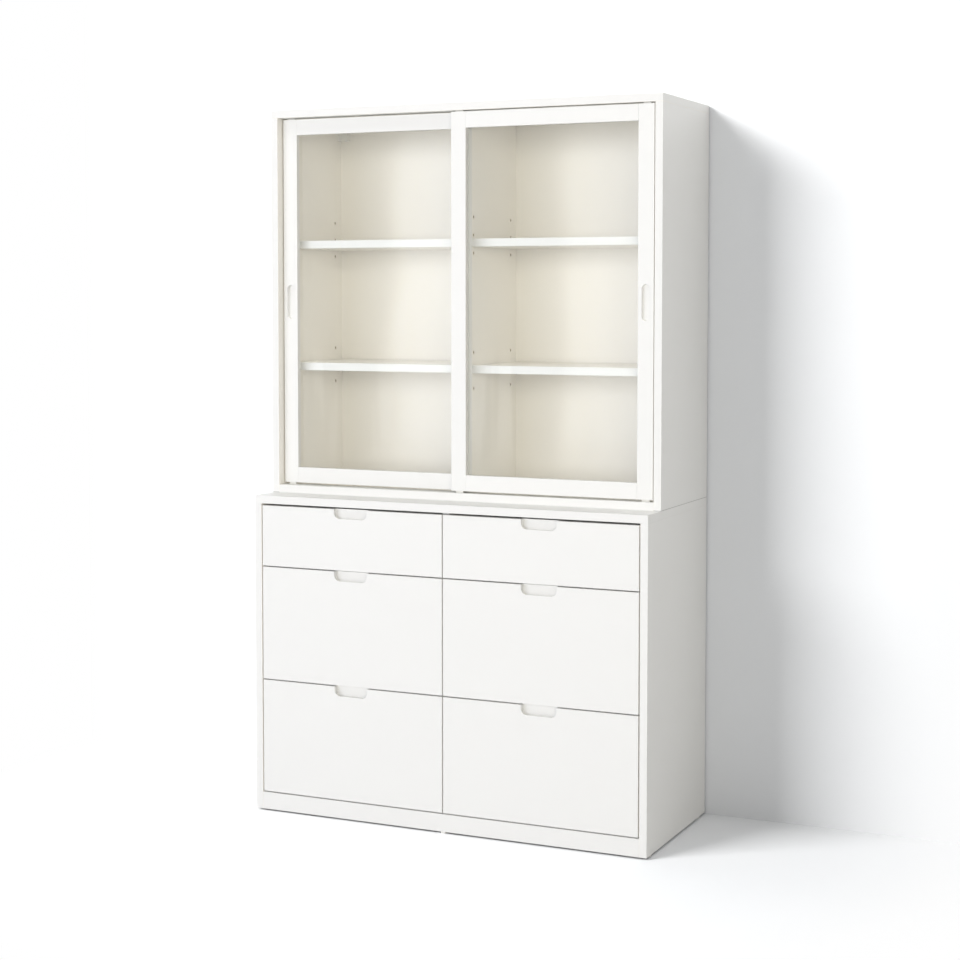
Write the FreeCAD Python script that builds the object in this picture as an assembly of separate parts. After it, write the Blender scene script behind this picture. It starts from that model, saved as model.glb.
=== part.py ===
import FreeCAD, Part
import os

# A free-standing cabinet in two stacked units. The lower unit holds six drawers on
# telescopic runners. The upper unit stands back from the lower front and has shelves
# behind two framed glass doors that slide past each other.
# Millimetres. Origin on the floor at the centre of the outline, +Z up, front towards -Y.

# Overall sizes.
width = 1064.0
depth = 440.0
height = 1800.0
lower_height = 815.0
upper_setback = 90.0

# Boards.
board = 20.0
side_board = 19.0
back_board = 5.0
back_inset = 5.0
back_groove_depth = 8.0
plinth_height = 49.0
plinth_board = 19.0

# Floor glides.
glide_height = 5.0
glide_size = 12.0
glide_from_end = 40.0

# Drawer fronts and the gaps round them.
front_board = 20.0
front_gap = 3.0
front_top_gap = 5.0
top_row_height = 154.5
divider_clearance = 1.0

# Finger recess in the top edge of each drawer front.
recess_width = 92.0
recess_drop = 24.0
recess_depth = 15.0
recess_corner = 14.0
recess_lip = 6.0
recess_undercut = 9.0

# Drawer boxes.
box_height_share = 0.72
box_lift = 18.0
box_length = 398.0
box_board = 12.0
base_board = 5.0
base_lift = 8.0
base_groove_depth = 6.0

# Telescopic drawer runners: one channel on the cabinet, one in the middle, one on the drawer.
runner_space = 13.0
runner_height = 45.0
runner_sheet = 1.5
runner_play = 0.5
runner_lip = 3.5
runner_mouth_gap = 2.5
runner_length = 390.0
runner_start = 3.0
runner_lift = 46.0

# Sliding doors.
door_thickness = 18.0
door_reveal = 3.0
door_spacing = 3.0
door_side_gap = 3.0
door_top_gap = 3.0
door_bottom_gap = 5.0
frame_width = 40.0
tenon_length = 12.0
tenon_thickness = 6.0
tenon_shoulder = 6.0
glass_thickness = 4.0
glass_setback = 13.0
glass_lap = 8.0
glass_play = 1.0

# Flush pull milled in the outer stile of each door.
pull_width = 20.0
pull_length = 87.0
pull_depth = 10.0
pull_end_share = 0.99

# Door tracks and the glides that run in them.
track_thickness = 10.0
track_groove = 6.0
track_groove_depth = 7.0
track_play = 0.3
shoe_length = 20.0
shoe_reach = 5.0
peg_size = 6.0
peg_length = 12.0

# Shelves on pins.
shelf_bay_share = 0.327
shelf_setback = 60.0
shelf_back_gap = 1.0
shelf_end_gap = 1.0
divider_setback = 50.0
pin_diameter = 8.0
pin_hole_share = 0.42
pin_reach = 9.0
pin_rise = 6.5
pin_groove_play = 0.3
pin_from_front = 15.0
pin_from_back = 35.0
hole_pitch = 22.5
high_hole_steps = (3, 1, -1)
low_hole_steps = (2, -2)

# Blocks that tie the upper top to its sides.
block_width = 29.0
block_height = 36.0
block_depth = 20.0

# How far a cutting shape runs past the face that it opens.
overrun = 1.0

# Planes that several pieces share.
half_width = width / 2
inner = half_width - side_board
front = -depth / 2
back = depth / 2
upper_front = front + upper_setback
back_face = back - back_inset - back_board
lower_ceiling = lower_height - board
upper_floor = lower_height + board
upper_ceiling = height - board
half_divider = side_board / 2
pin_hole_depth = side_board * pin_hole_share
pin_front = upper_front + shelf_setback + pin_from_front
pin_back = back_face - pin_from_back
shelf_bay = (upper_ceiling - upper_floor - 2 * board) * shelf_bay_share
low_shelf_bottom = upper_floor + shelf_bay
high_shelf_bottom = low_shelf_bottom + board + shelf_bay
low_pin = low_shelf_bottom + pin_rise
high_pin = high_shelf_bottom + pin_rise
door_bottom = upper_floor + door_bottom_gap
door_top = upper_ceiling - door_top_gap
outer_door_face = upper_front + door_reveal
inner_door_face = outer_door_face + door_thickness + door_spacing
track_back = inner_door_face + door_thickness
box_front = front + front_board
lower_fronts_top = lower_ceiling - front_top_gap
lower_fronts_bottom = plinth_height + front_gap
tall_rows = (lower_fronts_top - lower_fronts_bottom - top_row_height - 2 * front_gap) / 2
low_row = lower_fronts_bottom
middle_row = low_row + tall_rows + front_gap
top_row = middle_row + tall_rows + front_gap
rows = {
    "bottom": (low_row, tall_rows),
    "middle": (middle_row, tall_rows),
    "top": (top_row, top_row_height),
}
sides = {"left": -1, "right": 1}

ALONG_X = FreeCAD.Vector(1, 0, 0)


def block(x_pair, y_pair, z_pair):
    """A box between pairs of planes, each pair in either order."""
    low = [min(pair) for pair in (x_pair, y_pair, z_pair)]
    size = [abs(pair[1] - pair[0]) for pair in (x_pair, y_pair, z_pair)]
    return Part.makeBox(size[0], size[1], size[2], FreeCAD.Vector(low[0], low[1], low[2]))


def mirrored(side, first, second):
    """A pair of X planes for the named side of the cabinet."""
    return (sides[side] * first, sides[side] * second)


def pin_rod(x, y, z, reach, direction, diameter):
    """A round rod that starts at a point and runs along X in a direction."""
    start = FreeCAD.Vector(x, y, z)
    return Part.makeCylinder(diameter / 2, reach, start, ALONG_X * direction)


def round_edges(shape, radius, wanted):
    """The shape with the wanted edges rounded."""
    return shape.makeFillet(radius, [edge for edge in shape.Edges if wanted(edge)])


def save(name, shapes):
    """Writes one node: a single solid or a group of separate solids."""
    shape = shapes[0] if len(shapes) == 1 else Part.makeCompound(shapes)
    shape.exportStep(os.path.join("parts", name + ".step"))


def pin_heights():
    """Every pin hole height: the two in use and the spare ones round them."""
    spare = [high_pin + step * hole_pitch for step in high_hole_steps]
    spare += [low_pin + step * hole_pitch for step in low_hole_steps]
    return [low_pin, high_pin] + spare


def pin_holes(face, direction, hole_depth):
    """Pin holes of a given depth that go into a board from its face."""
    start = face - direction * overrun
    reach = hole_depth + overrun
    places = [(y, z) for y in (pin_front, pin_back) for z in pin_heights()]
    return [pin_rod(start, y, z, reach, direction, pin_diameter) for y, z in places]


def make_upper_sides():
    """Upright sides of the upper unit, grooved for the back and drilled for pins."""
    for side, sign in sides.items():
        board_x = mirrored(side, inner, half_width)
        shape = block(board_x, (upper_front, back), (lower_height, upper_ceiling))
        groove_x = mirrored(side, inner - overrun, inner + back_groove_depth)
        groove_z = (lower_height - overrun, upper_ceiling + overrun)
        groove = block(groove_x, (back_face, back_face + back_board), groove_z)
        shape = shape.cut([groove] + pin_holes(sign * inner, sign, pin_hole_depth))
        save("upper_" + side + "_side", [shape])


def make_upper_boards():
    """Top, bottom, divider and back of the upper unit."""
    full_x = (-half_width, half_width)
    clear_x = (-inner, inner)
    track_y = (outer_door_face, track_back)
    groove_x = (-inner - back_groove_depth, inner + back_groove_depth)
    groove_y = (back_face, back_face + back_board)

    top = block(full_x, (upper_front, back), (upper_ceiling, height))
    top_groove = block(groove_x, groove_y, (upper_ceiling - overrun, upper_ceiling + back_groove_depth))
    top_housing = block(clear_x, track_y, (upper_ceiling - overrun, upper_ceiling + track_thickness))
    save("upper_top", [top.cut([top_groove, top_housing])])

    bottom = block(clear_x, (upper_front, back), (lower_height, upper_floor))
    cut_x = (-inner - overrun, inner + overrun)
    bottom_groove = block(cut_x, groove_y, (upper_floor - back_groove_depth, upper_floor + overrun))
    bottom_housing = block(cut_x, track_y, (upper_floor - track_thickness, upper_floor + overrun))
    save("upper_bottom", [bottom.cut([bottom_groove, bottom_housing])])

    divider_y = (upper_front + divider_setback, back_face)
    divider = block((-half_divider, half_divider), divider_y, (upper_floor, upper_ceiling))
    save("upper_divider", [divider.cut(pin_holes(-half_divider, 1, side_board + overrun))])

    back_z = (upper_floor - back_groove_depth, upper_ceiling + back_groove_depth)
    save("upper_back", [block(groove_x, groove_y, back_z)])


def shelf_with_grooves(side, bottom):
    """A shelf whose ends are grooved from below so that its pins are hidden."""
    ends = (half_divider + shelf_end_gap, inner - shelf_end_gap)
    shelf_y = (upper_front + shelf_setback, back_face - shelf_back_gap)
    shape = block(mirrored(side, ends[0], ends[1]), shelf_y, (bottom, bottom + board))
    half_groove = pin_diameter / 2 + pin_groove_play
    groove_top = bottom + pin_rise + pin_diameter / 2
    spans = [(half_divider, half_divider + pin_reach + pin_groove_play)]
    spans.append((inner - pin_reach - pin_groove_play, inner))
    for span in spans:
        for y in (pin_front, pin_back):
            groove_y = (y - half_groove, y + half_groove)
            groove_z = (bottom - overrun, groove_top)
            shape = shape.cut(block(mirrored(side, span[0], span[1]), groove_y, groove_z))
    return shape


def make_shelves():
    """Two shelves in each bay and the pins that carry them, which run through the divider."""
    places = [(y, z) for y in (pin_front, pin_back) for z in (low_pin, high_pin)]
    through_start = -half_divider - pin_reach
    through_length = side_board + 2 * pin_reach
    pins = [pin_rod(through_start, y, z, through_length, 1, pin_diameter) for y, z in places]
    for side, sign in sides.items():
        save(side + "_low_shelf", [shelf_with_grooves(side, low_shelf_bottom)])
        save(side + "_high_shelf", [shelf_with_grooves(side, high_shelf_bottom)])
        start = sign * (inner + pin_hole_depth)
        length = pin_hole_depth + pin_reach
        pins += [pin_rod(start, y, z, length, -sign, pin_diameter) for y, z in places]
    save("shelf_pins", pins)


def track(base, mouth):
    """A flush strip with one groove for each door, open at its mouth plane."""
    way = 1 if mouth > base else -1
    shape = block((-inner, inner), (outer_door_face, track_back), (base, mouth))
    for face in (outer_door_face, inner_door_face):
        middle = face + door_thickness / 2
        groove_y = (middle - track_groove / 2, middle + track_groove / 2)
        groove_z = (mouth - way * track_groove_depth, mouth + way * overrun)
        shape = shape.cut(block((-inner - overrun, inner + overrun), groove_y, groove_z))
    return shape


def make_upper_fittings():
    """Door tracks let into the top and bottom, and corner blocks under the top."""
    lower_track = track(upper_floor - track_thickness, upper_floor)
    upper_track = track(upper_ceiling + track_thickness, upper_ceiling)
    save("door_tracks", [lower_track, upper_track])
    blocks = []
    for side in sides:
        block_x = mirrored(side, inner - block_width, inner)
        block_z = (upper_ceiling - block_height, upper_ceiling)
        blocks.append(block(block_x, (back_face - block_depth, back_face), block_z))
    save("corner_blocks", blocks)


def door_shoe(x, face, shoe_z, peg_z):
    """A glide shoe under or over a stile, with a square peg let into the stile."""
    middle = face + door_thickness / 2
    half_shoe = track_groove / 2 - track_play
    shoe_x = (x - shoe_length / 2, x + shoe_length / 2)
    shoe = block(shoe_x, (middle - half_shoe, middle + half_shoe), shoe_z)
    return shoe.fuse(door_peg(x, middle, peg_z)).removeSplitter()


def door_peg(x, y, z_pair):
    """The upright square peg of a glide shoe, also used to cut its mortise."""
    half = peg_size / 2
    return block((x - half, x + half), (y - half, y + half), z_pair)


def make_door(side, face):
    """One sliding door: stiles, rails tenoned between them, glass and glides."""
    sign = sides[side]
    overlap = frame_width / 2
    outer_edge = sign * (inner - door_side_gap)
    inner_edge = -sign * overlap
    rebate_y = (face + glass_setback, face + door_thickness + overrun)
    lap_low = door_bottom + frame_width - glass_lap
    lap_high = door_top - frame_width + glass_lap
    middle = face + door_thickness / 2
    tenon_y = (face + tenon_shoulder, face + tenon_shoulder + tenon_thickness)

    stiles = []
    for edge, way in ((outer_edge, -sign), (inner_edge, sign)):
        clear_edge = edge + way * frame_width
        shape = block((edge, clear_edge), (face, face + door_thickness), (door_bottom, door_top))
        rebate_x = (clear_edge - way * glass_lap, clear_edge + way * overrun)
        cuts = [block(rebate_x, rebate_y, (lap_low, lap_high))]
        mortise_x = (clear_edge - way * tenon_length, clear_edge + way * overrun)
        for rail_bottom in (door_bottom, door_top - frame_width):
            mortise_z = (rail_bottom + tenon_shoulder, rail_bottom + frame_width - glass_lap - tenon_shoulder)
            cuts.append(block(mortise_x, tenon_y, mortise_z))
        stile_middle = edge + way * frame_width / 2
        cuts.append(door_peg(stile_middle, middle, (door_bottom - overrun, door_bottom + peg_length)))
        cuts.append(door_peg(stile_middle, middle, (door_top - peg_length, door_top + overrun)))
        if edge == outer_edge:
            cuts.append(pull_recess(stile_middle, face))
        stiles.append(shape.cut(cuts))
    save(side + "_door_stiles", stiles)

    rail_ends = (inner_edge + sign * frame_width, outer_edge - sign * frame_width)
    rails = []
    for rail_bottom, lap_edge, way in ((door_bottom, 1, 1), (door_top - frame_width, 0, -1)):
        shape = block(rail_ends, (face, face + door_thickness), (rail_bottom, rail_bottom + frame_width))
        glass_edge = rail_bottom + lap_edge * frame_width
        rebate_x = (rail_ends[0] - sign * overrun, rail_ends[1] + sign * overrun)
        rebate_z = (glass_edge - way * glass_lap, glass_edge + way * overrun)
        shape = shape.cut(block(rebate_x, rebate_y, rebate_z))
        tenon_x = (rail_ends[0] - sign * tenon_length, rail_ends[1] + sign * tenon_length)
        tenon_z = (rail_bottom + tenon_shoulder, rail_bottom + frame_width - glass_lap - tenon_shoulder)
        shape = shape.fuse(block(tenon_x, tenon_y, tenon_z))
        rails.append(shape.removeSplitter())
    save(side + "_door_rails", rails)

    reach = glass_lap - glass_play
    glass_x = (rail_ends[0] - sign * reach, rail_ends[1] + sign * reach)
    glass_y = (face + glass_setback, face + glass_setback + glass_thickness)
    glass_z = (lap_low + glass_play, lap_high - glass_play)
    save(side + "_door_glass", [block(glass_x, glass_y, glass_z)])

    shoes = []
    shoe_bottom = upper_floor - track_groove_depth + track_play
    shoe_top = upper_ceiling + shoe_reach
    for edge, way in ((outer_edge, -sign), (inner_edge, sign)):
        x = edge + way * frame_width / 2
        shoes.append(door_shoe(x, face, (shoe_bottom, door_bottom), (door_bottom, door_bottom + peg_length)))
        shoes.append(door_shoe(x, face, (door_top, shoe_top), (door_top - peg_length, door_top)))
    save(side + "_door_glides", shoes)


def pull_recess(x, face):
    """The blind upright slot with round ends that the fingers push against."""
    half_length = pull_length / 2
    centre = (door_bottom + door_top) / 2
    pull_x = (x - pull_width / 2, x + pull_width / 2)
    pull_z = (centre - half_length, centre + half_length)
    slot = block(pull_x, (face - overrun, face + pull_depth), pull_z)
    ends = pull_width / 2 * pull_end_share
    return round_edges(slot, ends, runs_along_y)


def runs_along_y(edge):
    """True for a straight edge square to the front."""
    box = edge.BoundBox
    return box.YLength > max(box.XLength, box.ZLength)


def make_lower_boards():
    """Sides, top, bottom, divider, back, plinth and floor glides of the lower unit."""
    groove_y = (back_face, back_face + back_board)
    for side in sides:
        side_x = mirrored(side, inner, half_width)
        shape = block(side_x, (front, back), (glide_height, lower_ceiling))
        groove_x = mirrored(side, inner - overrun, inner + back_groove_depth)
        groove_z = (glide_height - overrun, lower_ceiling + overrun)
        save("lower_" + side + "_side", [shape.cut(block(groove_x, groove_y, groove_z))])

    groove_x = (-inner - back_groove_depth, inner + back_groove_depth)
    top = block((-half_width, half_width), (front, back), (lower_ceiling, lower_height))
    top_groove = block(groove_x, groove_y, (lower_ceiling - overrun, lower_ceiling + back_groove_depth))
    save("lower_top", [top.cut(top_groove)])

    bottom_z = (plinth_height - board, plinth_height)
    save("lower_bottom", [block((-inner, inner), (front + plinth_board, back_face), bottom_z)])
    save("plinth", [block((-inner, inner), (front, front + plinth_board), (glide_height, plinth_height))])

    divider_y = (box_front + divider_clearance, back_face)
    divider_x = (-half_divider, half_divider)
    save("lower_divider", [block(divider_x, divider_y, (plinth_height, lower_ceiling))])
    back_z = (plinth_height - board, lower_ceiling + back_groove_depth)
    save("lower_back", [block(groove_x, groove_y, back_z)])

    side_middle = inner + side_board / 2
    places = [(0, front + plinth_board / 2)]
    for x in (-side_middle, side_middle):
        places += [(x, front + glide_from_end), (x, back - glide_from_end)]
    half = glide_size / 2
    pads = [block((x - half, x + half), (y - half, y + half), (0, glide_height)) for x, y in places]
    save("floor_glides", pads)


def runner_block(x_pair, half, z, past):
    """A box as long as a runner, or longer at both ends, about a height."""
    run = (box_front + runner_start - past, box_front + runner_start + runner_length + past)
    return block(x_pair, run, (z - half, z + half))


def lipped_channel(web, mouth, half, z):
    """Folded sheet with a web at one X plane and flanges whose lips turn in at the mouth."""
    way = 1 if mouth > web else -1
    inside_x = (web + way * runner_sheet, mouth - way * runner_sheet)
    slot_x = (web + way * runner_sheet, mouth + way * overrun)
    inside = runner_block(inside_x, half - runner_sheet, z, overrun)
    slot = runner_block(slot_x, half - runner_lip, z, overrun)
    return runner_block((web, mouth), half, z, 0).cut([inside, slot])


def flanged_channel(web, mouth, half, flange_half, z):
    """Folded sheet with a web at one X plane and flanges that turn out at the mouth."""
    way = 1 if mouth > web else -1
    flange_x = (mouth - way * runner_sheet, mouth)
    inside_x = (web + way * runner_sheet, mouth + way * overrun)
    shape = runner_block((web, mouth), half, z, 0).fuse(runner_block(flange_x, flange_half, z, 0))
    return shape.cut(runner_block(inside_x, half - runner_sheet, z, overrun)).removeSplitter()


def runner_set(wall, way, z):
    """The channels between a cabinet wall and a drawer side, each held by the one round it."""
    step = runner_sheet + runner_play
    half = runner_height / 2
    mouth = runner_space - runner_mouth_gap
    outer = lipped_channel(wall, wall + way * mouth, half, z)
    middle_half = half - step
    middle = lipped_channel(wall + way * step, wall + way * (mouth - step), middle_half, z)
    neck_half = middle_half - runner_lip - runner_play
    flange_half = middle_half - step
    drawer_web = wall + way * runner_space
    drawer_mouth = wall + way * 2 * step
    return outer, middle, flanged_channel(drawer_web, drawer_mouth, neck_half, flange_half, z)


def drawer_front(x_pair, bottom, tall):
    """A front board with a finger recess milled in its top edge, undercut behind a lip."""
    top = bottom + tall
    shape = block(x_pair, (front, front + front_board), (bottom, top))
    centre = (x_pair[0] + x_pair[1]) / 2
    recess_x = (centre - recess_width / 2, centre + recess_width / 2)
    mouth = block(recess_x, (front - overrun, front + recess_depth), (top - recess_drop, top + overrun))
    pocket_z = (top - recess_drop - recess_undercut, top + overrun)
    pocket = block(recess_x, (front + recess_lip, front + recess_depth), pocket_z)

    def lower_corner(edge):
        return runs_along_y(edge) and edge.BoundBox.ZMax < top

    cuts = [round_edges(cutter, recess_corner, lower_corner) for cutter in (mouth, pocket)]
    return shape.cut(cuts)


def make_drawer(side, row):
    """One drawer: front, side and back walls, base, and its runner channels."""
    sign = sides[side]
    bottom, tall = rows[row]
    name = side + "_" + row + "_drawer_"
    base_z = bottom + box_lift + base_lift
    groove_z = (base_z, base_z + base_board)
    box_z = (bottom + box_lift, bottom + box_lift + tall * box_height_share)
    box_back = box_front + box_length
    outer_faces = (half_divider + runner_space, inner - runner_space)
    clear_faces = (outer_faces[0] + box_board, outer_faces[1] - box_board)
    base_x = mirrored(side, clear_faces[0] - base_groove_depth, clear_faces[1] + base_groove_depth)
    base_y = (box_front - base_groove_depth, box_back - box_board + base_groove_depth)
    base = block(base_x, base_y, groove_z)

    front_x = mirrored(side, front_gap / 2, inner - front_gap)
    save(name + "front", [drawer_front(front_x, bottom, tall).cut(base)])

    walls = []
    for first, second in zip(outer_faces, clear_faces):
        walls.append(block(mirrored(side, first, second), (box_front, box_back), box_z))
    back_x = mirrored(side, clear_faces[0], clear_faces[1])
    walls.append(block(back_x, (box_back - box_board, box_back), box_z))
    save(name + "walls", [wall.cut(base) for wall in walls])
    save(name + "base", [base])

    z = bottom + box_lift + runner_lift
    near = runner_set(sign * half_divider, sign, z)
    far = runner_set(sign * inner, -sign, z)
    save(name + "middle_runners", [near[1], far[1]])
    save(name + "runners", [near[2], far[2]])
    return [near[0], far[0]]


def make_drawers():
    """All drawers, and the runner channels that stay on the cabinet."""
    fixed = []
    for side in sides:
        for row in rows:
            fixed += make_drawer(side, row)
    save("cabinet_runners", fixed)


os.makedirs("parts", exist_ok=True)
make_upper_sides()
make_upper_boards()
make_shelves()
make_upper_fittings()
make_door("right", outer_door_face)
make_door("left", inner_door_face)
make_lower_boards()
make_drawers()
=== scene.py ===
import math

import bpy
import numpy as np
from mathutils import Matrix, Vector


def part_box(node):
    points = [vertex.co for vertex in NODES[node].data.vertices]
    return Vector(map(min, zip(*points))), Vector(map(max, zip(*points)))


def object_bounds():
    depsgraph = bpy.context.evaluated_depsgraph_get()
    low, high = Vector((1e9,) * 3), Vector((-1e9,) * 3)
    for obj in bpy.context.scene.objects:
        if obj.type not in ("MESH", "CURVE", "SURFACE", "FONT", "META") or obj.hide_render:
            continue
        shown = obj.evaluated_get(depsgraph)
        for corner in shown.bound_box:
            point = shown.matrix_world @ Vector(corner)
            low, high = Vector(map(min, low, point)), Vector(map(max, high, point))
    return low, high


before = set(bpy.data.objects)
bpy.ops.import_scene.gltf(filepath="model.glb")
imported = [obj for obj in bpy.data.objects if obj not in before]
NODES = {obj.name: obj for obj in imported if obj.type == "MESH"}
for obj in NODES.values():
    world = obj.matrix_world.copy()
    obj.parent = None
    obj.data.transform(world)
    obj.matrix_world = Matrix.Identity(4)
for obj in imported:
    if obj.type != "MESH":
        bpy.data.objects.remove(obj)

# White two-part cabinet on a pale floor against a pale wall, lit by a cool window from the left, a warm
# lamp from the right, a ceiling lamp and an even sky. Metres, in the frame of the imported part.

CAD_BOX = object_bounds()
SIDES = ("left", "right")
ROWS = ("top", "middle", "bottom")

# Sides that stand on the lower unit, boards with pin holes, and boards with finer arrises.
STANDING = ("upper_left_side", "upper_right_side")
DRILLED = (*STANDING, "upper_divider")
CARCASE = ("upper_top", "lower_top", "lower_left_side", "lower_right_side", *STANDING)

# Camera, as the photograph was taken.
CAMERA_PLACE = (2.0074, -4.3638, 1.3286)
CAMERA_TURN_DEG = 24.6967
CAMERA_DIP_DEG = 3.1508
CAMERA_LENS_MM = 71.024
CAMERA_SENSOR_MM = 36.0
CAMERA_SHIFT_Y = -0.085
CAMERA_REACH = 100.0

# Each lamp: the point it faces, degrees to the left of the front, degrees up, distance, width, height,
# watts, colour. The room lamps light the floor and wall alone, the others the cabinet alone. The back lamp
# stands behind the wall and shines through it.
LAMPS = {
    "window_lamp": ((0.0, 0.0, 0.95), 21.0, 6.0, 8.0, 6.0, 2.2, 243.0, (0.88, 0.905, 1.0)),
    "warm_lamp": ((0.0, 0.0, 0.95), -32.0, 7.0, 8.0, 3.0, 2.2, 178.0, (1.0, 0.95, 0.83)),
    "ceiling_lamp": ((0.0, -0.15, 0.9), 5.0, 68.0, 5.0, 3.0, 2.0, 50.0, (1.0, 0.985, 0.94)),
    "back_lamp": ((0.0, 0.0, 0.95), 180.0, 12.0, 8.0, 0.9, 2.2, 440.0, (1.0, 1.0, 1.0)),
    "room_lamp": ((0.0, 0.0, 0.95), 34.0, 28.0, 8.0, 4.0, 2.4, 665.0, (1.0, 1.0, 1.0)),
    "room_fill": ((0.0, 0.0, 0.95), -26.0, 30.0, 8.0, 4.0, 2.4, 88.0, (1.0, 1.0, 0.98)),
}
ROOM_LAMPS = ("room_lamp", "room_fill")
BACK_LAMP = "back_lamp"
SKY_STRENGTH = 0.38
SKY_COLOUR = (0.97, 0.98, 1.0)
PLAIN_WHITE = (1.0, 1.0, 1.0)
SEEN_RAYS = ("Is Camera Ray", "Is Glossy Ray", "Is Transmission Ray")
LIGHTING_RAYS = ("Is Shadow Ray", "Is Diffuse Ray")

# Floor and wall: their reach, the wall's height and its gap behind the cabinet, their colour where they are
# seen, the greyer ones they have for bounced light, and the level distances from the cabinet's middle where
# they start to turn plain white and where they are. The plan takes the height out of a place.
ROOM_REACH = 12.0
WALL_HEIGHT = 9.0
WALL_GAP = 0.004
ROOM_WHITE = (0.915, 0.925, 0.935)
FLOOR_BOUNCE = (0.45, 0.45, 0.45)
WALL_BOUNCE = (0.70, 0.70, 0.70)
ROOM_FADE = (0.85, 1.40)
FLOOR_PLAN = (1.0, 1.0, 0.0)

# Bright window that only mirror-like surfaces show: degrees to the left of the front, distance, width and
# height. Each pair below says where something starts and where it is full: both edges of two upright bars,
# which waver a little, their top and foot, and the top and the edges of low folds. A glow is what a bar or
# a fold adds to the window's own strength of 1.
WINDOW_LEFT_DEG = 25.0
WINDOW_DISTANCE = 6.0
WINDOW_WIDTH = 4.0
WINDOW_HEIGHT = 2.8
LEFT_BAR = ((0.46, 0.28), (-0.06, 0.02))
RIGHT_BAR = ((-0.52, -0.68), (-1.7, -1.3))
BAR_TOP = (2.40, 2.05)
BAR_FOOT = (0.25, 0.60)
BAR_WAVER = 0.22
LEFT_GLOW = 1.35
RIGHT_GLOW = 0.95
FOLD_TOP = (1.15, 0.80)
FOLD_EDGE = (0.50, 0.58)
FOLD_GLOW = 0.65

# Finishes, as linear colours.
WHITE = (0.885, 0.882, 0.862)
# The inside's cream coat, lighter than WHITE: partly painted light that brightens the shaded inside.
LIGHTENED_LINING = (0.958, 0.927, 0.866)
SEAM = (0.62, 0.61, 0.57)
# Painted shadow: the tone of the shaded seam at the foot of the upper sides.
FOOT_SHADOW_TONE = (0.16, 0.155, 0.14)
CORE_PALE = (0.62, 0.53, 0.40)
CORE_DARK = (0.42, 0.34, 0.24)
PALE_BOARD = (0.800, 0.785, 0.735)
FIBRE_PALE = (0.60, 0.54, 0.44)
FIBRE_DARK = (0.42, 0.36, 0.28)
ZINC = (0.66, 0.67, 0.68)
ZINC_BLOOM = (0.50, 0.50, 0.49)
NYLON = (0.91, 0.90, 0.86)
TRACK_WHITE = (0.80, 0.80, 0.76)
TRACK_RUBBED = (0.52, 0.51, 0.48)
GLASS_TINT = (0.985, 0.995, 0.990)
PASSED_LIGHT = (0.99, 0.995, 0.99)

# Noises: repeats in a metre, detail, and roughness where it isn't a half.
CLOUD = (2.6, 3.0)
SMEAR = (19.0, 5.0, 0.62)
PEEL = (620.0, 2.0)
CHIPS = (700.0, 4.0, 0.7)
FILM = (5.0, 4.0, 0.6)
DRAWN_LINES = (900.0, 2.0)
SPANGLE = (160.0, 1.0)
BLOOM = (24.0, 4.0, 0.6)
MOULD_GRAIN = (1400.0, 2.0)
MOULD_CLOUD = (60.0, 3.0)
TRACK_LINES = (1200.0, 2.0)
TRACK_WEAR = (40.0, 4.0, 0.6)
FOIL_CLOUD = (9.0, 4.0, 0.6)
FIBRES = (240.0, 5.0, 0.7)
FLECKS = (75.0, 4.0, 0.65)
ROOM_GRAIN = (90.0, 3.0)
WAVER = (1.7, 2.0)
FOLDS = (2.4, 2.0)

# How much closer together marks lie along each axis: below 1 they are drawn out along it.
FILM_DRAWN = (1.0, 1.0, 0.35)
RUNNER_DRAWN = (1.0, 0.012, 1.0)
PIN_DRAWN = (0.05, 1.0, 1.0)
TRACK_LINES_DRAWN = (0.02, 1.0, 1.0)
TRACK_WEAR_DRAWN = (0.15, 1.0, 1.0)
FIBRES_DRAWN = (1.0, 1.0, 2.2)
FOLDS_DRAWN = (3.0, 3.0, 0.12)

# Heights of relief.
PEEL_HEIGHT = 0.000022
CLOUD_HEIGHT = 0.00018
LINE_HEIGHT = 0.00001
GRAIN_HEIGHT = 0.00002
WEAVE_HEIGHT = 0.000025
FIBRE_HEIGHT = 0.00008
PANEL_HEIGHT = 0.0002

# Boards: the rubbed edge's width and strength, the painted shadow line under the upper unit and its
# strength, the skin of coating over the core, the door frame's width, and the foil's threads as radians in
# a metre.
RUBBED_EDGE = 0.0016
RUBBED_STRENGTH = 0.22
FOOT_SHADOW_WIDTH = 0.0012
FOOT_SHADOW_STRENGTH = 0.85
COATING_SKIN = 0.0005
FRAME_WIDTH = 0.040
THREADS = 3200.0

# Arrises: their roundness on fronts and on the carcase, its steps, how near loose faces join, the bend up
# to which faces count as one, and the bend from which an arris is rounded.
FRONT_ARRIS = 0.0007
CARCASE_ARRIS = 0.00035
ARRIS_STEPS = 2
JOIN_REACH = 0.00001
FLAT_DEG = 0.5
SHARP_DEG = 50.0

# Where the cream lining starts and is full: x on the sides, z under the upper top, z and y on the upper
# bottom, and behind the front edge of other boards. Where a back panel is bare, in front of its rear face.
SIDE_LINING = (0.5142, 0.5132)
TOP_LINING = (1.7814, 1.7804)
BOTTOM_LINING = (0.8336, 0.8346)
BOTTOM_FRONT = (-0.1292, -0.1284)
EDGE_LINING = (0.0002, 0.0010)
PANEL_BARE = (0.0012, 0.0004)

# Door tracks: the strips' thickness, and where rubbing starts and is full, below their faces and from their
# middle.
TRACK_THICK = 0.010
RUB_DEPTH = (0.001, 0.004)
RUB_ASIDE = (0.018, 0.015)


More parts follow.
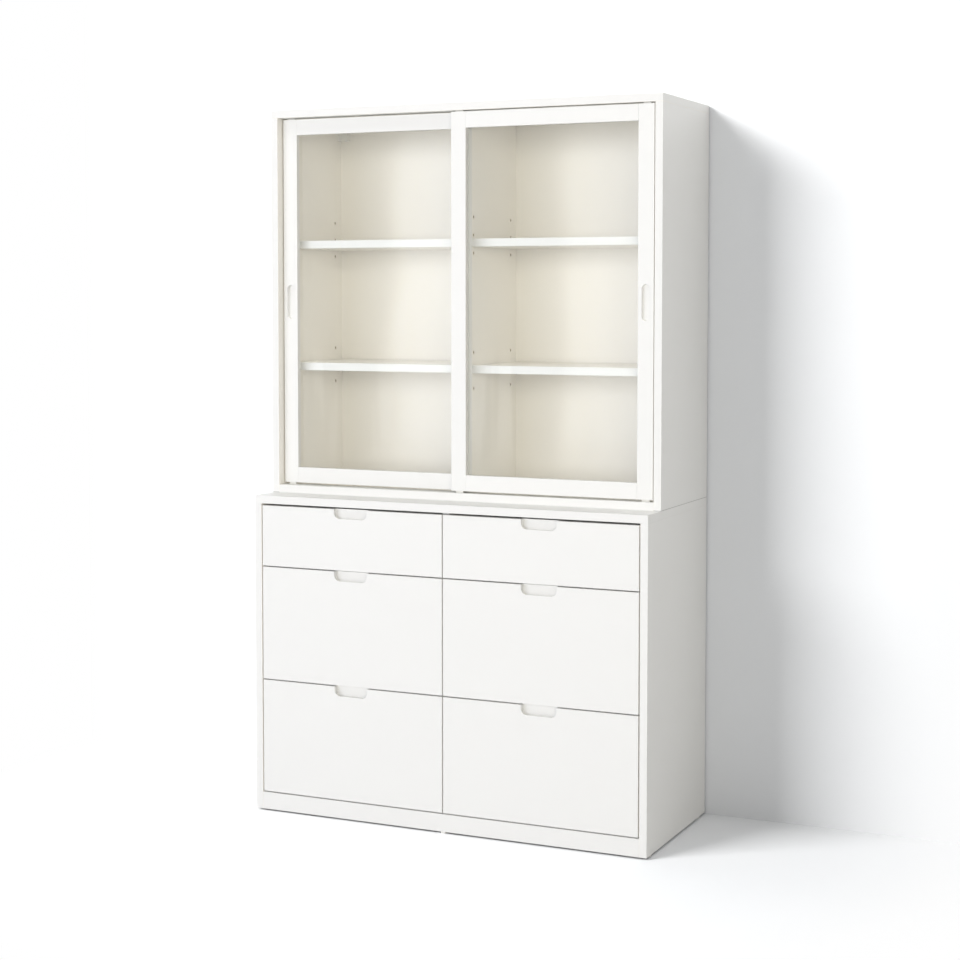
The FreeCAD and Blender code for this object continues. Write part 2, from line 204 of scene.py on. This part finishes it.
class Value:
    """A socket of one node tree, so that sums of sockets read as Python; an empty one only makes nodes."""

    def __init__(self, tree, socket=None):
        self.tree = tree
        self.socket = socket

    def node(self, kind, settings=None, inputs=None, out=0):
        """Any node, from its type, its settings, and the values or links of its inputs."""
        made = self.tree.nodes.new(kind)
        for name, setting in (settings or {}).items():
            setattr(made, name, setting)
        for name, value in (inputs or {}).items():
            if isinstance(value, Value):
                self.tree.links.new(value.socket, made.inputs[name])
            else:
                made.inputs[name].default_value = value
        return Value(self.tree, made.outputs[out] if made.outputs else None)

    def maths(self, operation, first, second=0.0):
        """One sum of two values, or of one."""
        return self.node("ShaderNodeMath", {"operation": operation}, {0: first, 1: second})

    def __add__(self, other):
        return self.maths("ADD", self, other)

    def __radd__(self, other):
        return self.maths("ADD", other, self)

    def __sub__(self, other):
        return self.maths("SUBTRACT", self, other)

    def __rsub__(self, other):
        return self.maths("SUBTRACT", other, self)

    def __mul__(self, other):
        return self.maths("MULTIPLY", self, other)

    def __rmul__(self, other):
        return self.maths("MULTIPLY", other, self)

    def __abs__(self):
        return self.maths("ABSOLUTE", self)

    def sine(self):
        return self.maths("SINE", self)

    def least(self, other):
        return self.maths("MINIMUM", self, other)

    def most(self, other):
        return self.maths("MAXIMUM", self, other)

    def rise(self, low, high):
        """0 below low, 1 above high and a soft step between; falls where low is above high."""
        inputs = {"Value": self, "From Min": low, "From Max": high}
        return self.node("ShaderNodeMapRange", {"interpolation_type": "SMOOTHSTEP"}, inputs)

    def blend(self, first, second):
        """The first colour where this value is 0 and the second where it is 1."""
        # Inputs 6 and 7 and output 2 are the node's colour sockets.
        inputs = {0: self, 6: colour(first), 7: colour(second)}
        return self.node("ShaderNodeMix", {"data_type": "RGBA"}, inputs, out=2)

    def noise(self, scale, detail, roughness=0.5):
        """Soft noise, about 0 to 1, of this place."""
        inputs = {"Vector": self, "Scale": scale, "Detail": detail, "Roughness": roughness}
        return self.node("ShaderNodeTexNoise", None, inputs)

    def drawn(self, stretch):
        """This place with each axis times its own number."""
        return self.node("ShaderNodeVectorMath", {"operation": "MULTIPLY"}, {0: self, 1: stretch})

    def axes(self):
        """X, Y and Z of this place as three values."""
        parts = self.node("ShaderNodeSeparateXYZ", None, {0: self}).socket.node
        return [Value(self.tree, socket) for socket in parts.outputs]

    def reach(self, direction):
        """How far this place lies along a direction."""
        inputs = {0: self, 1: direction}
        return self.node("ShaderNodeVectorMath", {"operation": "DOT_PRODUCT"}, inputs, out="Value")

    def length(self):
        """How far this place lies from the origin."""
        return self.node("ShaderNodeVectorMath", {"operation": "LENGTH"}, {0: self}, out="Value")

    def bump(self, height, strength):
        """A normal from a height in metres."""
        return self.node("ShaderNodeBump", None, {"Strength": strength, "Distance": 1.0, "Height": height})

    def rays(self, kinds):
        """1 for rays of any of these kinds."""
        sockets = self.node("ShaderNodeLightPath").socket.node.outputs
        first, *others = (Value(self.tree, sockets[kind]) for kind in kinds)
        for other in others:
            first = first.most(other)
        return first


def colour(value):
    """A colour with its alpha, or a link as it is."""
    return value if isinstance(value, Value) else (*value, 1.0)


def shade(tone, share):
    """A colour made darker or lighter."""
    return [part * share for part in tone]


def new_material(name):
    """An empty material, its tree and the place on the piece."""
    material = bpy.data.materials.new(name)
    material.use_nodes = True
    material.node_tree.nodes.clear()
    start = Value(material.node_tree)
    place = start.node("ShaderNodeTexCoord", out="Object")
    return material, start, place


def close_material(start, surface):
    """Joins a shader to the material's output."""
    start.node("ShaderNodeOutputMaterial", None, {"Surface": surface})


def close_principled(start, inputs):
    """Joins a principled shader with these inputs to the material's output."""
    close_material(start, start.node("ShaderNodeBsdfPrincipled", None, inputs))


def board_depths(place, node):
    """How deep a point lies under each pair of faces of a board, or of the nearer of two frame pieces."""
    low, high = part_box(node)
    twin_axis = {"stiles": 0, "rails": 2}.get(node.split("_")[-1])
    depths = []
    for axis, value in enumerate(place.axes()):
        half = (high[axis] - low[axis]) / 2
        away = abs(value - (low[axis] + high[axis]) / 2)
        if axis == twin_axis:
            away = abs(away - (half - FRAME_WIDTH / 2))
            half = FRAME_WIDTH / 2
        depths.append(half - away)
    return depths


def edge_distance(depths):
    """How far a point on a box is from its nearest arris: the middle one of its three depths."""
    low = depths[0].least(depths[1])
    high = depths[0].most(depths[1])
    return low.most(high.least(depths[2]))


def drilled_core(place, depths, tone):
    """The coating's tone, and raw chips of the core on the walls of drilled holes, below every face."""
    chips = place.noise(*CHIPS).rise(0.35, 0.65).blend(CORE_DARK, CORE_PALE)
    deep = depths[0].least(depths[1]).least(depths[2])
    return deep.rise(COATING_SKIN, 2 * COATING_SKIN).blend(tone, chips)


def painted_foot_shadow(place, node, tone):
    """The tone, and a painted shadow line at the foot of an upright side, standing in for the shade in the
    seam where it stands on the lower unit.
    """
    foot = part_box(node)[0][2]
    foot_shadow = place.axes()[2].rise(foot + FOOT_SHADOW_WIDTH, foot + FOOT_SHADOW_WIDTH / 2)
    return (foot_shadow * FOOT_SHADOW_STRENGTH).blend(tone, FOOT_SHADOW_TONE)


def lightened_cream_coating(cloud):
    """The inside's cream colour, a little cloudy; lighter than the outer white, partly painted light that
    brightens the shaded inside.
    """
    return cloud.blend(LIGHTENED_LINING, shade(LIGHTENED_LINING, 1.02))


def coated_board(name, node, lining=None):
    """Satin white coating on board: faint orange peel, cloudy sheen, rubbed arrises.

    lining makes a 0 to 1 value from the three axes, 1 where the inside's cream coating shows, lightened as
    partly painted light.
    """
    material, start, place = new_material(name)
    cloud = place.noise(*CLOUD)
    smear = place.noise(*SMEAR)
    peel = place.noise(*PEEL)
    depths = board_depths(place, node)
    rubbed = edge_distance(depths).rise(RUBBED_EDGE, 0.0) * smear.rise(0.35, 0.75)
    tone = cloud.blend(shade(WHITE, 0.985), WHITE)
    if lining is not None:
        # The inside's cream coat is lightened: partly painted light for the shaded inside.
        tone = lining(*place.axes()).blend(tone, lightened_cream_coating(cloud))
    tone = (rubbed * RUBBED_STRENGTH).blend(tone, SEAM)
    if node in DRILLED:
        tone = drilled_core(place, depths, tone)
    # Painted shadow: a dark line at the foot of the upright sides, for the shaded seam on the lower unit.
    if node in STANDING:
        tone = painted_foot_shadow(place, node, tone)
    rough = 0.36 + 0.14 * smear - 0.08 * rubbed
    normal = place.bump(peel * PEEL_HEIGHT + cloud * CLOUD_HEIGHT, 0.35)
    inputs = {"Base Color": tone, "Roughness": rough, "Normal": normal}
    inputs.update({"IOR": 1.47, "Coat Weight": 0.12, "Coat Roughness": 0.22})
    close_principled(start, inputs)
    return material


def dress(node, material):
    """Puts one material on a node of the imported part."""
    NODES[node].data.materials.clear()
    NODES[node].data.materials.append(material)


def ease_arrises(node, width):
    """Rounds a board's sharp arrises a little, after joining its loose faces."""
    piece = NODES[node]
    weld = piece.modifiers.new("join_faces", "WELD")
    weld.merge_threshold = JOIN_REACH
    flat = piece.modifiers.new("flat_faces", "DECIMATE")
    flat.decimate_type = "DISSOLVE"
    flat.angle_limit = math.radians(FLAT_DEG)
    arris = piece.modifiers.new("eased_arris", "BEVEL")
    arris.width = width
    arris.segments = ARRIS_STEPS
    arris.limit_method = "ANGLE"
    arris.angle_limit = math.radians(SHARP_DEG)
    arris.harden_normals = True
    arris.use_clamp_overlap = False


def door_glass(name):
    """Clear float glass with a faint film of smears; lamps and soft light pass straight through."""
    material, start, place = new_material(name)
    film = place.drawn(FILM_DRAWN).noise(*FILM)
    rough = 0.004 + 0.022 * film.rise(0.5, 0.85)
    tint = film.blend(GLASS_TINT, shade(GLASS_TINT, 0.995))
    inputs = {"Base Color": tint, "Roughness": rough, "Transmission Weight": 1.0, "IOR": 1.5}
    glass = start.node("ShaderNodeBsdfPrincipled", None, inputs)
    passing = start.node("ShaderNodeBsdfTransparent", None, {"Color": colour(PASSED_LIGHT)})
    lighting = start.rays(LIGHTING_RAYS)
    close_material(start, start.node("ShaderNodeMixShader", None, {0: lighting, 1: glass, 2: passing}))
    return material


def zinc_steel(name, stretch):
    """Zinc-plated sheet: fine drawn lines along one axis, a soft spangle, a dull sheen."""
    material, start, place = new_material(name)
    lines = place.drawn(stretch).noise(*DRAWN_LINES)
    spangle = place.noise(*SPANGLE)
    bloom = place.noise(*BLOOM)
    tone = spangle.rise(0.35, 0.7).blend(shade(ZINC, 0.90), ZINC)
    tone = (bloom.rise(0.55, 0.85) * 0.35).blend(tone, ZINC_BLOOM)
    rough = 0.27 + 0.14 * lines + 0.12 * bloom
    inputs = {"Base Color": tone, "Roughness": rough, "Metallic": 1.0}
    inputs["Normal"] = place.bump(lines * LINE_HEIGHT, 0.4)
    close_principled(start, inputs)
    return material


def moulded_nylon(name):
    """Milky moulded plastic with a spark-eroded grain and slight cloudiness."""
    material, start, place = new_material(name)
    grain = place.noise(*MOULD_GRAIN)
    tone = place.noise(*MOULD_CLOUD).blend(shade(NYLON, 0.96), NYLON)
    inputs = {"Base Color": tone, "Roughness": 0.42 + 0.14 * grain, "IOR": 1.53}
    inputs["Normal"] = place.bump(grain * GRAIN_HEIGHT, 0.5)
    close_principled(start, inputs)
    return material


def running_track(name):
    """Extruded plastic strips: drawn lines along their length, rubbed grey inside the grooves."""
    material, start, place = new_material(name)
    low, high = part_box("door_tracks")
    across, height = place.axes()[1:]
    lines = place.drawn(TRACK_LINES_DRAWN).noise(*TRACK_LINES)
    wear = place.drawn(TRACK_WEAR_DRAWN).noise(*TRACK_WEAR)
    low_face = low[2] + TRACK_THICK
    high_face = high[2] - TRACK_THICK
    inside_low = height.rise(*(low_face - depth for depth in RUB_DEPTH))
    inside_high = height.rise(*(high_face + depth for depth in RUB_DEPTH))
    beside = abs(across - (low[1] + high[1]) / 2).rise(*RUB_ASIDE)
    rubbed = inside_low.most(inside_high) * beside * wear.rise(0.25, 0.7)
    tone = (rubbed * 0.6).blend(TRACK_WHITE, TRACK_RUBBED)
    inputs = {"Base Color": tone, "Roughness": 0.45 + 0.12 * lines - 0.15 * rubbed, "IOR": 1.5}
    inputs["Normal"] = place.bump(lines * LINE_HEIGHT, 0.4)
    close_principled(start, inputs)
    return material


def drawer_board(name):
    """Pale foil on the drawer boxes, embossed with a faint linen weave."""
    material, start, place = new_material(name)
    x, y, z = place.axes()
    weave = ((x + y) * THREADS).sine()
    weft = ((z + y) * THREADS).sine()
    cloud = place.noise(*FOIL_CLOUD)
    cloth = 0.5 + 0.25 * weave + 0.25 * weft
    tone = cloud.blend(shade(PALE_BOARD, 0.965), PALE_BOARD)
    tone = (cloth * 0.05).blend(tone, SEAM)
    inputs = {"Base Color": tone, "Roughness": 0.50 + 0.12 * cloud, "IOR": 1.46}
    inputs["Normal"] = place.bump(cloth * WEAVE_HEIGHT, 0.4)
    close_principled(start, inputs)
    return material


def back_panel(name, node):
    """Thin fibreboard: cream coating inside, lightened as partly painted light, bare pressed fibres on the
    rear face.
    """
    material, start, place = new_material(name)
    rear_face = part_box(node)[1][1]
    rear = place.axes()[1].rise(*(rear_face - depth for depth in PANEL_BARE))
    fibres = place.drawn(FIBRES_DRAWN).noise(*FIBRES)
    flecks = place.noise(*FLECKS)
    cloud = place.noise(*CLOUD)
    bare = fibres.rise(0.3, 0.7).blend(FIBRE_DARK, FIBRE_PALE)
    bare = (flecks.rise(0.58, 0.7) * 0.4).blend(bare, FIBRE_DARK)
    rough = 0.32 + 0.4 * rear + 0.08 * flecks
    inputs = {"Base Color": rear.blend(lightened_cream_coating(cloud), bare), "Roughness": rough}
    inputs["Normal"] = place.bump(fibres * FIBRE_HEIGHT * rear + cloud * PANEL_HEIGHT, 0.4)
    close_principled(start, inputs)
    return material


def inside_of_side(x, y, z):
    """The inner face of an upright side."""
    return abs(x).rise(*SIDE_LINING)


def under_top(x, y, z):
    """The underside of the upper top."""
    return z.rise(*TOP_LINING)


def over_bottom(x, y, z):
    """The upper face of the upper unit's bottom board, behind its front edge."""
    return z.rise(*BOTTOM_LINING) * y.rise(*BOTTOM_FRONT)


def behind_front_edge(node):
    """All of a board but its front edge."""
    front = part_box(node)[0][1]

    def lining(x, y, z):
        return y.rise(*(front + depth for depth in EDGE_LINING))

    return lining


def dress_boards():
    """Coats every board of both units and eases its arrises."""
    linings = {f"{unit}_{side}_side": inside_of_side for unit in ("upper", "lower") for side in SIDES}
    linings.update({"upper_top": under_top, "upper_bottom": over_bottom})
    edged = ["upper_divider", "lower_divider", "lower_bottom"]
    edged += [f"{side}_{level}_shelf" for side in SIDES for level in ("high", "low")]
    linings.update({node: behind_front_edge(node) for node in edged})
    plain = ["lower_top", "plinth"]
    plain += [f"{side}_door_{piece}" for side in SIDES for piece in ("stiles", "rails")]
    plain += [f"{side}_{row}_drawer_front" for side in SIDES for row in ROWS]
    for node in [*linings, *plain]:
        dress(node, coated_board(f"coating_{node}", node, linings.get(node)))
        ease_arrises(node, CARCASE_ARRIS if node in CARCASE else FRONT_ARRIS)


def dress_fittings():
    """Finishes the glass, steel, plastic, drawer boxes and back panels."""
    runner = zinc_steel("zinc_runner", RUNNER_DRAWN)
    nylon = moulded_nylon("white_nylon")
    board = drawer_board("drawer_foil")
    glass = door_glass("float_glass")
    dress("cabinet_runners", runner)
    dress("shelf_pins", zinc_steel("plated_pin", PIN_DRAWN))
    dress("door_tracks", running_track("extruded_track"))
    for node in ("corner_blocks", "floor_glides", "left_door_glides", "right_door_glides"):
        dress(node, nylon)
    for node in ("upper_back", "lower_back"):
        dress(node, back_panel(f"fibreboard_{node}", node))
    for side in SIDES:
        dress(f"{side}_door_glass", glass)
        for row in ROWS:
            drawer = f"{side}_{row}_drawer"
            dress(f"{drawer}_runners", runner)
            dress(f"{drawer}_middle_runners", runner)
            dress(f"{drawer}_walls", board)
            dress(f"{drawer}_base", board)


def flat_sheet(name, corner, along_u, along_v):
    """A flat quad: corner plus u times one edge plus v times the other, u and v 0 or 1."""
    corner, along_u, along_v = (np.array(part, float) for part in (corner, along_u, along_v))
    points = [corner, corner + along_u, corner + along_u + along_v, corner + along_v]
    mesh = bpy.data.meshes.new(name)
    mesh.from_pydata([point.tolist() for point in points], [], [(0, 1, 2, 3)])
    piece = bpy.data.objects.new(name, mesh)
    bpy.context.scene.collection.objects.link(piece)
    return piece


def room_paint(name, bounce, one_sided):
    """Matt pale paint, white where the camera, a reflection or glass shows it, and greyer to bounced light.

    Away from the cabinet it turns plain white, and a one-sided sheet is clear from behind.
    """
    material, start, place = new_material(name)
    seen = start.rays(SEEN_RAYS)
    pale = place.noise(*ROOM_GRAIN).blend(ROOM_WHITE, shade(ROOM_WHITE, 0.992))
    paint = start.node("ShaderNodeBsdfDiffuse", None, {"Color": seen.blend(bounce, pale)})
    white = start.node("ShaderNodeEmission", None, {"Color": colour(PLAIN_WHITE), "Strength": 1.0})
    far = seen * place.drawn(FLOOR_PLAN).length().rise(*ROOM_FADE)
    surface = start.node("ShaderNodeMixShader", None, {0: far, 1: paint, 2: white})
    if one_sided:
        rear = start.node("ShaderNodeNewGeometry", out="Backfacing")
        clear = start.node("ShaderNodeBsdfTransparent")
        surface = start.node("ShaderNodeMixShader", None, {0: rear, 1: surface, 2: clear})
    close_material(start, surface)
    return material


def build_room():
    """Floor and wall, which aren't part of the cabinet."""
    wall_y = CAD_BOX[1][1] + WALL_GAP
    span = 2 * ROOM_REACH
    floor = flat_sheet("floor", (-ROOM_REACH, -ROOM_REACH, 0.0), (span, 0.0, 0.0), (0.0, span, 0.0))
    wall = flat_sheet("wall", (-ROOM_REACH, wall_y, 0.0), (span, 0.0, 0.0), (0.0, 0.0, WALL_HEIGHT))
    floor.data.materials.append(room_paint("floor_paint", FLOOR_BOUNCE, False))
    wall.data.materials.append(room_paint("wall_paint", WALL_BOUNCE, True))
    return floor, wall


def window_light(name, across):
    """White, brighter in two soft upright bars, and low down in faint upright folds."""
    material, start, place = new_material(name)
    side = place.reach(across) + BAR_WAVER * (place.noise(*WAVER) - 0.5)
    height = place.axes()[2]
    cloth = place.drawn(FOLDS_DRAWN).noise(*FOLDS)
    folds = FOLD_GLOW * cloth.rise(*FOLD_EDGE) * height.rise(*FOLD_TOP)
    bars = LEFT_GLOW * side.rise(*LEFT_BAR[0]) * side.rise(*LEFT_BAR[1])
    bars = bars + RIGHT_GLOW * side.rise(*RIGHT_BAR[0]) * side.rise(*RIGHT_BAR[1])
    bars = bars * (0.7 + 0.6 * cloth) * height.rise(*BAR_TOP)
    glow = bars.most(folds) * height.rise(*BAR_FOOT)
    close_material(start, start.node("ShaderNodeEmission", None, {"Color": 1.0 + glow, "Strength": 1.0}))
    return material


def build_window():
    """The window out in front on the left, which lights nothing and shows only in mirror-like surfaces."""
    turn = math.radians(WINDOW_LEFT_DEG)
    out = np.array((-math.sin(turn), -math.cos(turn), 0.0))
    across = np.array((-math.cos(turn), math.sin(turn), 0.0))
    corner = WINDOW_DISTANCE * out + 0.5 * WINDOW_WIDTH * across
    window = flat_sheet("window", corner, -WINDOW_WIDTH * across, (0.0, 0.0, WINDOW_HEIGHT))
    window.data.materials.append(window_light("window_light", tuple(across)))
    window.visible_camera = False
    window.visible_diffuse = False
    window.visible_shadow = False


def hang_lamp(name, aim, left_deg, rise_deg, distance, width, height, watts, tint):
    """A flat lamp at one direction from the point it faces, shown by no camera, mirror or glass."""
    left = math.radians(left_deg)
    rise = math.radians(rise_deg)
    way = np.array([-math.sin(left) * math.cos(rise), -math.cos(left) * math.cos(rise), math.sin(rise)])
    data = bpy.data.lights.new(name, "AREA")
    data.shape = "RECTANGLE"
    data.size = width
    data.size_y = height
    data.energy = watts
    data.color = tint
    lamp = bpy.data.objects.new(name, data)
    lamp.location = np.array(aim) + way * distance
    lamp.rotation_euler = (math.pi / 2 - rise, 0.0, -left)
    lamp.visible_camera = False
    lamp.visible_glossy = False
    lamp.visible_transmission = False
    bpy.context.scene.collection.objects.link(lamp)
    return lamp


def linked_sheets(name, sheets, state):
    """A collection that takes these sheets into a lamp's light, or leaves them out of it."""
    group = bpy.data.collections.new(name)
    for sheet in sheets:
        group.objects.link(sheet)
    for member in group.collection_objects:
        member.light_linking.link_state = state
    return group


def pass_wall(lamp, wall):
    """Lets a lamp behind the wall shine through it, with no light thrown back onto the wall."""
    lamp.light_linking.blocker_collection = linked_sheets(f"{lamp.name}_passes", [wall], "EXCLUDE")
    lamp.data.cycles.max_bounces = 0


def build_sky():
    """An even sky; white where the camera, a reflection or glass shows it."""
    world = bpy.data.worlds.new("pale_sky")
    world.use_nodes = True
    world.node_tree.nodes.clear()
    start = Value(world.node_tree)
    sky = start.node("ShaderNodeBackground", None, {"Color": colour(SKY_COLOUR), "Strength": SKY_STRENGTH})
    white = start.node("ShaderNodeBackground", None, {"Color": colour(PLAIN_WHITE), "Strength": 1.0})
    mixed = start.node("ShaderNodeMixShader", None, {0: start.rays(SEEN_RAYS), 1: sky, 2: white})
    start.node("ShaderNodeOutputWorld", None, {"Surface": mixed})
    bpy.context.scene.world = world


def build_light(floor, wall):
    """Every lamp, kept off the floor and wall or on them alone, and the sky."""
    for name, row in LAMPS.items():
        lamp = hang_lamp(name, *row)
        state = "INCLUDE" if name in ROOM_LAMPS else "EXCLUDE"
        lamp.light_linking.receiver_collection = linked_sheets(f"{name}_room", (floor, wall), state)
        if name == BACK_LAMP:
            pass_wall(lamp, wall)
    build_sky()


def build_camera():
    """The photograph's view: a long lens to the right of the front."""
    data = bpy.data.cameras.new("photo_view")
    data.lens = CAMERA_LENS_MM
    data.sensor_width = CAMERA_SENSOR_MM
    data.shift_y = CAMERA_SHIFT_Y
    data.clip_end = CAMERA_REACH
    camera = bpy.data.objects.new("photo_view", data)
    camera.location = CAMERA_PLACE
    dip = math.radians(CAMERA_DIP_DEG)
    camera.rotation_euler = (math.pi / 2 - dip, 0.0, math.radians(CAMERA_TURN_DEG))
    bpy.context.scene.collection.objects.link(camera)
    bpy.context.scene.camera = camera


bpy.context.scene.view_settings.view_transform = "Standard"
dress_boards()
dress_fittings()
build_light(*build_room())
build_window()
build_camera()
